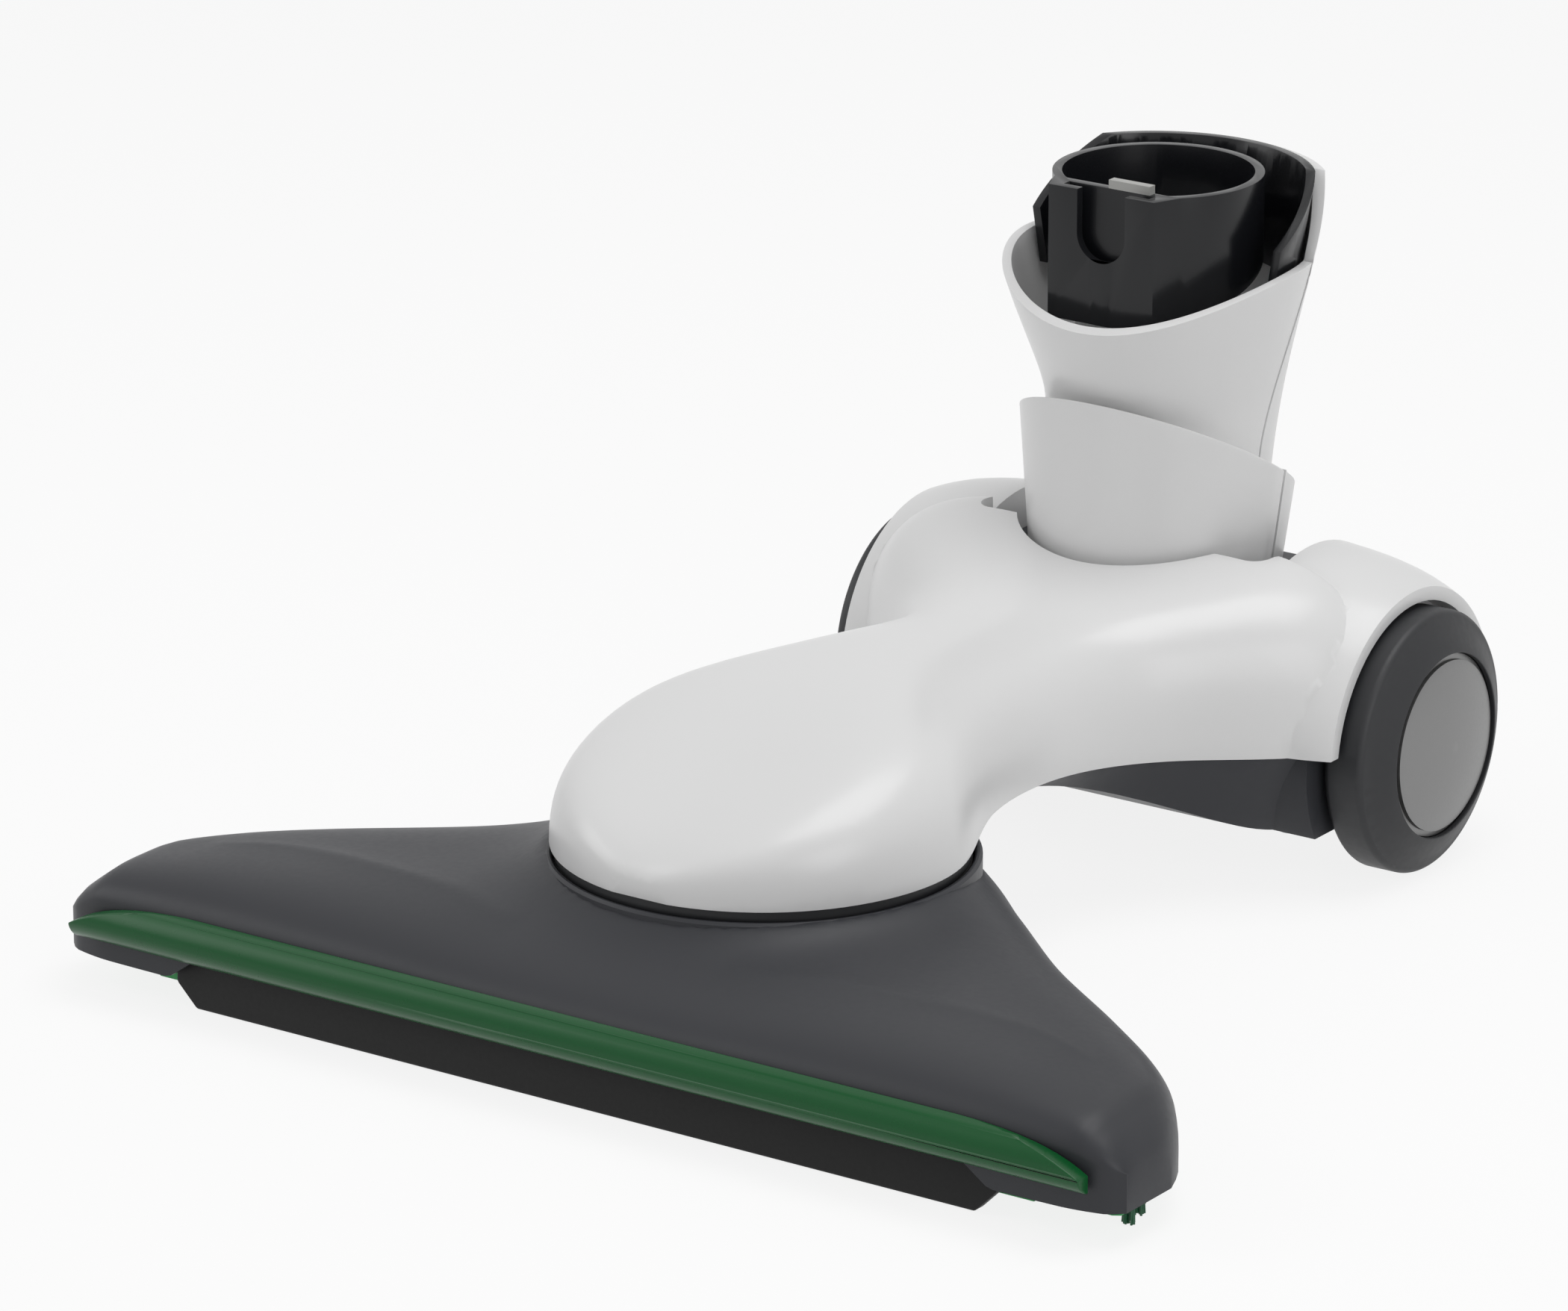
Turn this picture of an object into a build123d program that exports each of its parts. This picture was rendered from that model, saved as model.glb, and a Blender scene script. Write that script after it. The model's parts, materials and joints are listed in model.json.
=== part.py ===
"""Vacuum floor brush head: a wide head on a swivel neck with two wheels, a tilting elbow and a tube socket.

Millimetres, +Z up, front edge towards -Y. The origin is on the floor, midway between front and back.
"""
import os
from math import cos, radians, sin

from build123d import *

os.makedirs("parts", exist_ok=True)

# Fits and clearances
touch_gap = 0.2
running_gap = 0.4
pin_clearance = 0.05
moving_gap = 0.6

# Head: sections across the wing as distance from the middle, front edge, rear edge and crest height.
# Front and rear are measured from the swivel axis.
ring_y = -68.37
wing_sections = [
    (0.0, -80.0, 58.0, 29.8), (30.0, -80.0, 52.0, 30.2), (55.0, -80.0, 32.0, 31.0), (82.0, -80.0, 8.5, 30.2),
    (112.0, -80.0, -13.5, 29.3), (136.0, -79.7, -33.0, 28.1), (148.0, -78.0, -47.5, 26.0),
    (152.0, -75.5, -55.0, 23.5),
]
front_wall_top = 20.0
rear_wall_top = 16.0
cover_bottom = 8.0
cover_top = 41.5
cover_wall = 2.6
deck_top = 37.5
deck_thickness = 2.5
seat_radius = 50.5
seat_land = 1.8
seat_foot_radius = 63.5
seat_foot_ahead = 6.0
cavity_steps = [(0.0, 17.0), (5.0, 22.0), (16.0, 26.0)]

strip_half_length = 145.0
strip_bottom = 13.0
strip_height = 11.5
strip_bulge = 4.6
strip_tip_height = 4.5
strip_taper = 60.0
lip_half_length = 118.0
lip_thickness = 3.4
lip_bevel = 6.0

sole_top = 13.5
sole_thickness = 2.5
sole_rim_depth = 7.5
sole_rim_width = 12.5
suction_radius = 33.0
throat_wall = 2.5
rail_width = 8.0
rail_depth = 9.0
rail_half_length = 126.0
rail_slot = (14.0, 3.4, 3.0)
rail_slot_x = 78.0
ridge_size = (64.0, 2.4, 3.0)
ridge_x = 62.0
ridge_back = 8.0
guide_rib_points = [(39.0, 8.0), (55.0, -14.0), (83.0, -26.0)]
guide_rib_width = 2.4
guide_rib_depth = 4.0
latch_behind = 44.0
latch_size = (30.0, 4.0, 5.0)
latch_window = (9.0, 3.0)
latch_window_x = 7.5
tuft_radius = 1.9
outer_tuft_inset = 4.2
inner_tuft_inset = 9.0
outer_tuft_pitch = 6.2
inner_tuft_pitch = 6.0
inner_row_reach = 118.0

# Swivel between head and neck
seal_thickness = 3.0
seal_width = 12.0
spigot_outer = 30.5
spigot_wall = 3.5
spigot_below_deck = 7.0
turret_clip_width = 6.0
turret_clip_height = 3.0
clip_room = 2.5
throat_clearance = 1.0

# Neck: distance behind the swivel axis, half width and crest height of each section
dome_gap = 2.5
neck_wall = 2.6
neck_stations = [
    (-50.4, 7.8, 48.0), (-46.5, 21.0, 53.5), (-36.0, 36.2, 59.5), (-15.0, 48.8, 67.5), (10.0, 50.0, 75.8),
    (36.0, 39.0, 79.6), (66.0, 30.6, 78.2), (94.0, 32.0, 75.0), (116.0, 43.5, 75.0), (134.0, 61.5, 76.4),
    (150.0, 73.0, 78.8), (162.0, 73.0, 79.2),
]
core_start = 2
hollow_low_share = 0.55
hollow_low_width = 0.84
hollow_high_share = 0.86
hollow_high_width = 0.5
split_start = 45.0
split_end = 130.0
pod_split_rise = 4.5

# Barrel with the two wheel pods
axle_behind_ring = 177.0
tyre_radius = 33.5
barrel_half = 73.0
barrel_profile = [(0.0, 46.0), (45.0, 44.6), (62.0, 42.2), (73.0, 38.5)]
well_radius = 35.0
well_floor = 66.0
bulkhead = 2.2
recess_half = 42.6
recess_front = 153.0
recess_corner = 5.0
recess_wall = 2.6

# Lower tray: distance behind the swivel axis and height of its underside
tray_stations = [
    (51.0, 42.4), (64.0, 42.0), (78.0, 39.5), (94.0, 35.0), (119.0, 25.0), (138.0, 16.5), (150.0, 15.0),
]
tray_floor = 15.0
tray_wall = 2.4
tray_core_rise = 7.2
tray_bottom_share = 0.8
tray_barrel_radius = 38.2
tray_bulkhead = 5.5
axle_boss_radius = 8.0
axle_boss_length = 6.0
screw_x = 54.0
screw_y = (-25.0, 24.0)
screw_radius = 1.7
screw_head_radius = 3.4
screw_head_height = 2.2
screw_length = 34.0
screw_boss_radius = 4.0

# Wheels, measured outwards from the middle of the neck
axle_radius = 4.0
axle_inner_end = 56.0
axle_outer_end = 78.0
axle_clip_radius = 6.5
axle_clip_height = 1.2
tyre_inner = 67.5
tyre_shoulder = 77.0
tyre_bevel_x = 79.0
tyre_bevel_radius = 32.0
tyre_face_x = 83.5
tyre_face_radius = 23.5
tyre_seat_radius = 27.0
hub_web = 3.5
hub_boss_radius = 9.0
cap_radius = 21.8
cap_edge_x = 83.0
cap_rise = 3.0
cap_thickness = 2.0
cap_flange = 0.8

# Elbow: tilt axis, drum and slanted collar
tilt_z = 48.0
drum_radius = 28.0
trunnion_radius = 6.0
collar_behind_ring = 172.0
collar_bottom = 68.0
collar_bottom_radius = 31.8
collar_top_radius = 36.0
collar_wall = 2.6
collar_opening_gap = 3.2
collar_seam = 3.0
slant_angle = 30.0
slant_z = 99.0
drum_disc_gap = 1.0
drum_disc_height = 4.0
duct_radius = 21.0
drum_window_radius = 18.0

# Tube socket, measured from the socket's own axis: round sections of the funnel as height, distance behind
# the axis and radius
funnel_base_radius = 29.5
funnel_rings = [(133.0, 1.0, 35.2), (147.0, -0.5, 39.0), (173.0, 0.0, 42.5)]
funnel_wall = 2.4
funnel_floor = 124.0
funnel_floor_radius = 30.0
funnel_back_top = 168.5
rim_front = (-40.0, 133.0)
rim_middle = (-21.0, 144.6)
rim_back = (13.5, 149.0)
back_wall_corner = (28.0, 168.5)
seam_foot = (-7.7, 60.0)
swivel_outer = 25.0
swivel_depth = 11.0
swivel_clip_width = 3.4
swivel_clip_height = 2.8
tube_bore = 18.5
funnel_bore = 17.0
duct_wall = 2.0
socket_radius = 26.4
socket_behind_ring = 171.0
socket_front = 26.2
socket_front_half = 15.4
socket_top = 170.0
socket_shelf = 150.0
socket_mouth_radius = 24.0
socket_low_front = 136.0
socket_low_slope = 0.3
socket_wall = 2.4
partition_thickness = 2.4
pocket_half = 12.5
pocket_floor = 150.5
notch_half = 7.0
notch_bottom = 152.0
liner_thickness = 2.2
liner_bottom = 141.0
liner_top = 169.5
web_half = 5.0
web_heights = (152.0, 158.0)
web_bite = 0.5
contact_size = (12.0, 2.4, 2.2)
contact_x = 5.0
liner_front = -1.0
liner_front_top = 155.0
liner_shoulder = 23.0
pocket_depth = 2.6

# Places that follow from the sizes above
axle_y = ring_y + axle_behind_ring
axle_z = tyre_radius
collar_y = ring_y + collar_behind_ring
socket_y = ring_y + socket_behind_ring
dome_base = cover_top + dome_gap
pod_split = axle_z + pod_split_rise
deck_bottom = deck_top - deck_thickness
rim_radius = seat_radius + seat_land
clip_top = deck_bottom - running_gap
clip_bottom = clip_top - turret_clip_height
axle_axis = Axis((0, axle_y, axle_z), (1, 0, 0))
axle_plane = Plane((0, axle_y, axle_z), x_dir=(1, 0, 0), z_dir=(0, -1, 0))
side_plane = Plane((0, ring_y, 0), x_dir=(0, 1, 0), z_dir=(1, 0, 0))
socket_side = Plane((0, socket_y, 0), x_dir=(0, 1, 0), z_dir=(1, 0, 0))
slant = Plane(
    (0, collar_y, slant_z),
    x_dir=(1, 0, 0),
    z_dir=(0, sin(radians(slant_angle)), cos(radians(slant_angle))),
)
far = 400.0


def hand_over(piece, name):
    """Label a finished piece and write its STEP file."""
    piece.label = name
    export_step(piece, f"parts/{name}.step")


def level_plane(height):
    """Level plane whose origin is on the head's swivel axis."""
    return Plane((0, ring_y, height))


def cross_plane(behind):
    """Upright plane across the neck, seen from the front, at a distance behind the swivel axis."""
    return Plane((0, ring_y + behind, 0), x_dir=(1, 0, 0), z_dir=(0, -1, 0))


def wing_section(front, rear, crest, base):
    """Section of the head: upright front and rear walls under a rounded top."""
    middle = (front + rear) / 2
    Polyline((front, front_wall_top), (front, base), (rear, base), (rear, rear_wall_top))
    Spline((rear, rear_wall_top), (middle, crest), (front, front_wall_top), tangents=((0, 1), (0, -1)))


def bell_outline(inset):
    """Plan outline of the head, set in from its edge."""
    right = [(x - inset if x else x, front + inset) for x, front, _, _ in wing_sections[1:]]
    right += [(x - inset if x else x, rear - inset) for x, _, rear, _ in reversed(wing_sections)]
    left = [(-x, y) for x, y in reversed(right[:-1])]
    Polyline(*right, *left, close=True)


def split_height(behind):
    """Height of the joint between upper shell and tray."""
    if behind <= split_start:
        return dome_base
    along = min((behind - split_start) / (split_end - split_start), 1.0)
    return dome_base + along * (pod_split - dome_base)


def split_region(gap, reach):
    """Side view of everything below or above the joint between upper shell and tray."""
    points = [(-far, dome_base), (split_start, dome_base), (split_end, pod_split), (far, pod_split)]
    return Polygon(*[(y, z + gap) for y, z in points], (far, reach), (-far, reach), align=None)


def arch_section(half_width, base, crest):
    """Arched section of the neck: a flat base under a rounded top."""
    Line((-half_width, base), (half_width, base))
    Spline((half_width, base), (0, crest), (-half_width, base), tangents=((0, 1), (0, -1)))


def hollow_section(half_width, base, crest):
    """Straight-sided section that stays within an arched one."""
    low, high = base + hollow_low_share * (crest - base), base + hollow_high_share * (crest - base)
    right = [(half_width, base), (half_width * hollow_low_width, low), (half_width * hollow_high_width, high)]
    Polyline(*[(-x, z) for x, z in right], (0, crest), *reversed(right), close=True)


def half_width_at(behind):
    """Half width of the neck between its sections."""
    for (d0, w0, _), (d1, w1, _) in zip(neck_stations, neck_stations[1:]):
        if d0 <= behind <= d1:
            return w0 + (w1 - w0) * (behind - d0) / (d1 - d0)
    return neck_stations[-1][1]


def tray_section(half_width, top, underside):
    """Section of the lower tray: flat top, narrower underside."""
    low = half_width * tray_bottom_share
    Polyline((-half_width, top), (half_width, top), (low, underside), (-low, underside), close=True)


# Head cover: sections lofted from wing tip to wing tip, with a round seat for the neck
wing_span = [(-x, *rest) for x, *rest in reversed(wing_sections[1:])] + wing_sections
with BuildPart() as head_cover:
    for x, front, rear, crest in wing_span:
        with BuildSketch(side_plane.offset(x)):
            with BuildLine():
                wing_section(front, rear, crest, cover_bottom)
            make_face()
    loft()
    with BuildSketch(level_plane(cover_bottom)):
        with Locations((0, -seat_foot_ahead)):
            Circle(seat_foot_radius)
    with BuildSketch(level_plane(cover_top)):
        Circle(rim_radius)
    loft()
    # Stepped hollow under the top
    for inset, ceiling in cavity_steps:
        with BuildSketch(level_plane(cover_bottom)):
            with BuildLine():
                bell_outline(cover_wall)
            make_face()
            if inset:
                offset(amount=-inset, kind=Kind.INTERSECTION, mode=Mode.REPLACE)
        extrude(amount=ceiling - cover_bottom, mode=Mode.SUBTRACT)
    # Room for the turret's clip, the hole for its spigot and the seat, in one turned cut
    with BuildSketch(side_plane):
        clip_space, hole = spigot_outer + turret_clip_width + clip_room, spigot_outer + running_gap
        with BuildLine():
            Polyline(
                (0, 0), (clip_space, 0), (clip_space, deck_bottom), (hole, deck_bottom), (hole, deck_top),
                (seat_radius, deck_top), (seat_radius, cover_top + cover_wall), (0, cover_top + cover_wall),
                close=True,
            )
        make_face()
    revolve(axis=Axis((0, ring_y, 0), (0, 0, 1)), mode=Mode.SUBTRACT)
hand_over(head_cover.part, "head_cover")

# Front strip: a bulged bar whose ends taper down to its lower edge
front_y = wing_sections[0][1]
strip_back = front_y - touch_gap
with BuildPart() as front_strip:
    with BuildSketch(side_plane):
        with BuildLine():
            Line((strip_back, strip_bottom), (strip_back, strip_bottom + strip_height))
            ThreePointArc(
                (strip_back, strip_bottom + strip_height),
                (strip_back - strip_bulge, strip_bottom + strip_height * 0.45),
                (strip_back, strip_bottom),
            )
        make_face()
    extrude(amount=strip_half_length, both=True)
    with BuildSketch(cross_plane(strip_back)):
        with BuildLine():
            tip, top = strip_bottom + strip_tip_height, strip_bottom + strip_height
            inner = strip_half_length - strip_taper
            Line((-strip_half_length, strip_bottom), (strip_half_length, strip_bottom))
            Line((strip_half_length, strip_bottom), (strip_half_length, tip))
            Spline((strip_half_length, tip), (inner, top), tangents=((-1, 0.6), (-1, 0)))
            Line((inner, top), (-inner, top))
            Spline((-inner, top), (-strip_half_length, tip), tangents=((-1, 0), (-1, -0.6)))
            Line((-strip_half_length, tip), (-strip_half_length, strip_bottom))
        make_face()
    extrude(amount=far, both=True, mode=Mode.INTERSECT)
hand_over(front_strip.part, "front_strip")

# Front lip: rubber blade behind the cover's front wall, down to the floor, with bevelled ends
lip_front = front_y + cover_wall + moving_gap
rail_front = lip_front + lip_thickness
with BuildPart() as front_lip:
    with BuildSketch(cross_plane(rail_front)):
        with BuildLine():
            Polyline(
                (-lip_half_length, sole_top), (-lip_half_length, lip_bevel),
                (-lip_half_length + lip_bevel, 0), (lip_half_length - lip_bevel, 0),
                (lip_half_length, lip_bevel), (lip_half_length, sole_top), close=True,
            )
        make_face()
    extrude(amount=lip_thickness)
hand_over(front_lip.part, "front_lip")

# Sole plate: green insert with rim, front rail, throat, ridges, guide ribs and latch tab
sole_inset = cover_wall + moving_gap
rim_bottom = sole_top - sole_rim_depth
throat_top = clip_bottom - throat_clearance
with BuildPart() as sole_plate:
    with BuildSketch(level_plane(rim_bottom)):
        with BuildLine():
            bell_outline(sole_inset)
        make_face()
    extrude(amount=sole_rim_depth)
    with BuildSketch(level_plane(rim_bottom)):
        with BuildLine():
            bell_outline(sole_inset)
        make_face()
        offset(amount=-sole_rim_width, kind=Kind.INTERSECTION, mode=Mode.REPLACE)
    extrude(amount=sole_rim_depth - sole_thickness, mode=Mode.SUBTRACT)
    # The front stays clear for the lip, with the rail behind it
    with Locations((0, ring_y + rail_front - far / 2, 0)):
        Box(far, far, far, mode=Mode.SUBTRACT)
    with Locations((0, ring_y + rail_front, sole_top)):
        Box(
            2 * rail_half_length, rail_width, rail_depth,
            align=(Align.CENTER, Align.MIN, Align.MAX),
        )
    slot_y = ring_y + rail_front + rail_width / 2
    with Locations(*[(x, slot_y, sole_top - rail_depth) for x in (-rail_slot_x, 0, rail_slot_x)]):
        Box(*rail_slot, align=(Align.CENTER, Align.CENTER, Align.MIN), mode=Mode.SUBTRACT)
    ridge_y = ring_y + rail_front + rail_width + ridge_back
    with Locations(*[(x, ridge_y, sole_top - sole_thickness) for x in (-ridge_x, ridge_x)]):
        Box(*ridge_size, align=(Align.CENTER, Align.CENTER, Align.MAX))
    # Two curved guide ribs from beside the hole out towards the corners
    for side in (-1, 1):
        with BuildSketch(level_plane(sole_top - sole_thickness)):
            with BuildLine():
                ThreePointArc(*[(side * x, y) for x, y in guide_rib_points])
            trace(line_width=guide_rib_width)
        extrude(amount=-guide_rib_depth)
    with Locations((0, ring_y + latch_behind, sole_top)):
        Box(*latch_size, align=(Align.CENTER, Align.CENTER, Align.MIN))
    latch_middle = sole_top + latch_size[2] / 2
    with Locations(*[(x, ring_y + latch_behind, latch_middle) for x in (-latch_window_x, latch_window_x)]):
        Box(latch_window[0], latch_size[1], latch_window[1], mode=Mode.SUBTRACT)
    with BuildSketch(level_plane(sole_top)):
        Circle(suction_radius + throat_wall)
    extrude(amount=throat_top - sole_top)
    with BuildSketch(level_plane(0)):
        Circle(suction_radius)
    extrude(amount=far, mode=Mode.SUBTRACT)
hand_over(sole_plate.part, "sole_plate")


def tuft_places(inset, pitch, reach):
    """Even places along the sides and the back of the sole plate, set in from its edge."""
    with BuildSketch(Plane.XY) as row:
        with BuildLine():
            bell_outline(sole_inset)
        make_face()
        offset(amount=-inset, kind=Kind.INTERSECTION, mode=Mode.REPLACE)
    wire = row.sketch.faces()[0].outer_wire()
    count = int(wire.length / pitch)
    points = [wire.position_at(step / count) for step in range(count)]
    front = rail_front + rail_width + tuft_radius
    return [(p.X, p.Y) for p in points if p.Y > front and abs(p.X) < reach]


# Two rows of bristle tufts under the rim
for name, inset, pitch, reach in (
    ("outer_bristles", outer_tuft_inset, outer_tuft_pitch, far),
    ("inner_bristles", inner_tuft_inset, inner_tuft_pitch, inner_row_reach),
):
    with BuildPart() as bristles:
        with BuildSketch(level_plane(0)):
            with Locations(*tuft_places(inset, pitch, reach)):
                RegularPolygon(tuft_radius, 6)
        extrude(amount=rim_bottom)
    hand_over(bristles.part, name)

# Seal ring: felt washer on the head's deck
with BuildPart() as seal_ring:
    with BuildSketch(level_plane(deck_top)):
        Circle(seat_radius - moving_gap)
        Circle(seat_radius - moving_gap - seal_width, mode=Mode.SUBTRACT)
    extrude(amount=seal_thickness)
hand_over(seal_ring.part, "seal_ring")

# Turret: flange under the dome with the air spigot on which the head turns
flange_bottom = deck_top + seal_thickness + running_gap
with BuildPart() as turret:
    with BuildSketch(level_plane(flange_bottom)):
        Circle(seat_radius - moving_gap)
    extrude(amount=dome_base - touch_gap - flange_bottom)
    with BuildSketch(level_plane(deck_bottom - spigot_below_deck)):
        Circle(spigot_outer)
    extrude(amount=spigot_below_deck + deck_thickness + flange_bottom - deck_top)
    with BuildSketch(level_plane(0)):
        Circle(spigot_outer - spigot_wall)
    extrude(amount=far, mode=Mode.SUBTRACT)
hand_over(turret.part, "turret")

# Turret clip: ring on the spigot, under the head's deck
with BuildPart() as turret_clip:
    with BuildSketch(level_plane(clip_bottom)):
        Circle(spigot_outer + turret_clip_width)
        Circle(spigot_outer, mode=Mode.SUBTRACT)
    extrude(amount=turret_clip_height)
hand_over(turret_clip.part, "turret_clip")


def barrel_section(inset):
    """Half section of the barrel, to turn about the axle."""
    right = [(x, r - inset) for x, r in barrel_profile]
    left = [(-x, r) for x, r in reversed(right[1:])]
    Spline(*left, *right)
    Polyline(right[-1], (barrel_half, 0), (-barrel_half, 0), left[0])


# Hollow inside the upper shell: the airway of the neck and the inside of both pods
bulkhead_inner = well_floor - bulkhead
screw_places = [(side * screw_x, axle_y + y, 0) for side in (-1, 1) for y in screw_y]
with BuildPart() as neck_core:
    for behind, half_width, crest in neck_stations[core_start:]:
        with BuildSketch(cross_plane(behind)):
            with BuildLine():
                hollow_section(half_width - neck_wall, split_height(behind) - neck_wall, crest - neck_wall)
            make_face()
    loft(ruled=True)
    with Locations((0, ring_y, 0)):
        Box(2 * bulkhead_inner, 2 * far, far, mode=Mode.INTERSECT)
    pod_inner = recess_half + recess_wall
    for start, end in ((-bulkhead_inner, -pod_inner), (pod_inner, bulkhead_inner)):
        with BuildSketch(axle_plane):
            with BuildLine():
                barrel_section(neck_wall)
            make_face()
            with Locations(((start + end) / 2, 0)):
                Rectangle(end - start, far, mode=Mode.INTERSECT)
        revolve(axis=axle_axis)
    with Locations(*screw_places):
        Cylinder(screw_boss_radius, 2 * far, mode=Mode.SUBTRACT)

# Upper shell: arched sections lofted from the dome to the barrel, with wheel wells and the elbow's recess
collar_opening = collar_bottom_radius + collar_opening_gap
with BuildPart() as neck_upper_shell:
    for behind, half_width, crest in neck_stations:
        with BuildSketch(cross_plane(behind)):
            with BuildLine():
                arch_section(half_width, split_height(behind), crest)
            make_face()
    loft()
    with BuildSketch(axle_plane):
        with BuildLine():
            barrel_section(0)
        make_face()
    revolve(axis=axle_axis)
    with BuildSketch(side_plane):
        split_region(0, -far)
    extrude(amount=far, both=True, mode=Mode.SUBTRACT)
    with Locations((0, ring_y, 0)):
        Box(2 * barrel_half, 2 * far, far, mode=Mode.INTERSECT)
    add(neck_core.part, mode=Mode.SUBTRACT)
    for side in (-1, 1):
        with Locations((side * (well_floor + far / 2), axle_y, axle_z)):
            Cylinder(well_radius, far, rotation=(0, 90, 0), mode=Mode.SUBTRACT)
    with BuildSketch(level_plane(0)):
        with Locations((0, recess_front)):
            Rectangle(2 * recess_half, far, align=(Align.CENTER, Align.MIN))
        fillet(vertices().group_by(Axis.Y)[0], recess_corner)
        with Locations((0, collar_behind_ring)):
            Circle(collar_opening)
    extrude(amount=far, mode=Mode.SUBTRACT)
    with Locations((0, axle_y, tilt_z)):
        Cylinder(
            trunnion_radius + pin_clearance, 2 * (recess_half + recess_wall),
            rotation=(0, 90, 0), mode=Mode.SUBTRACT,
        )
    with Locations(*screw_places):
        Cylinder(screw_radius, 2 * (tray_floor + screw_length), mode=Mode.SUBTRACT)
hand_over(neck_upper_shell.part, "neck_upper_shell")

# Lower tray: hollow of the neck part and of the barrel part
with BuildPart() as tray_core:
    for behind, underside in tray_stations:
        half_width = half_width_at(behind) - tray_wall
        with BuildSketch(cross_plane(behind)):
            with BuildLine():
                joint = split_height(behind)
                tray_section(half_width, joint + tray_core_rise, min(underside + tray_wall, joint))
            make_face()
    loft()
    with Locations((0, axle_y, axle_z)):
        Cylinder(tray_barrel_radius - tray_wall, 2 * (well_floor - tray_bulkhead), rotation=(0, 90, 0))
    with Locations((0, axle_y, tray_floor + tray_wall)):
        Box(far, far, far, align=(Align.CENTER, Align.CENTER, Align.MIN), mode=Mode.INTERSECT)

# Lower tray: dark underside of the neck, with bulkheads that hold the axles
with BuildPart() as neck_lower_shell:
    for behind, underside in tray_stations:
        with BuildSketch(cross_plane(behind)):
            with BuildLine():
                tray_section(half_width_at(behind), split_height(behind) + tray_wall, underside)
            make_face()
    loft()
    with Locations((0, axle_y, axle_z)):
        Cylinder(tray_barrel_radius, 2 * well_floor, rotation=(0, 90, 0))
    with Locations((0, axle_y, tray_floor)):
        Box(far, far, far, align=(Align.CENTER, Align.CENTER, Align.MAX), mode=Mode.SUBTRACT)
    with BuildSketch(side_plane):
        split_region(-touch_gap, far)
    extrude(amount=far, both=True, mode=Mode.SUBTRACT)
    add(tray_core.part, mode=Mode.SUBTRACT)
    for side in (-1, 1):
        with Locations((side * (well_floor - tray_bulkhead), axle_y, pod_split - touch_gap)):
            Box(
                2 * axle_boss_length, 2 * axle_boss_radius, pod_split - touch_gap - axle_z + axle_boss_radius,
                align=(Align.CENTER, Align.CENTER, Align.MAX),
            )
        with Locations((side * (well_floor + far / 2), axle_y, axle_z)):
            Cylinder(well_radius, far, rotation=(0, 90, 0), mode=Mode.SUBTRACT)
    with Locations((0, axle_y, axle_z)):
        Cylinder(axle_radius, 2 * far, rotation=(0, 90, 0), mode=Mode.SUBTRACT)
    # Room for the drum, and for the elbow to lie back
    with Locations((0, axle_y, tilt_z)):
        Cylinder(drum_radius + running_gap, 2 * recess_half, rotation=(0, 90, 0), mode=Mode.SUBTRACT)
    with Locations((0, axle_y, tilt_z - drum_radius)):
        Box(2 * recess_half, far, far, align=(Align.CENTER, Align.MIN, Align.MIN), mode=Mode.SUBTRACT)
    with Locations(*screw_places):
        Cylinder(screw_radius, 2 * far, mode=Mode.SUBTRACT)
hand_over(neck_lower_shell.part, "neck_lower_shell")

# Screws that hold the tray to the upper shell
with BuildPart() as neck_screws:
    with Locations(*[(x, y, tray_floor) for x, y, _ in screw_places]):
        Cylinder(screw_radius, screw_length, align=(Align.CENTER, Align.CENTER, Align.MIN))
        Cylinder(screw_head_radius, screw_head_height, align=(Align.CENTER, Align.CENTER, Align.MAX))
hand_over(neck_screws.part, "neck_screws")

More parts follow.
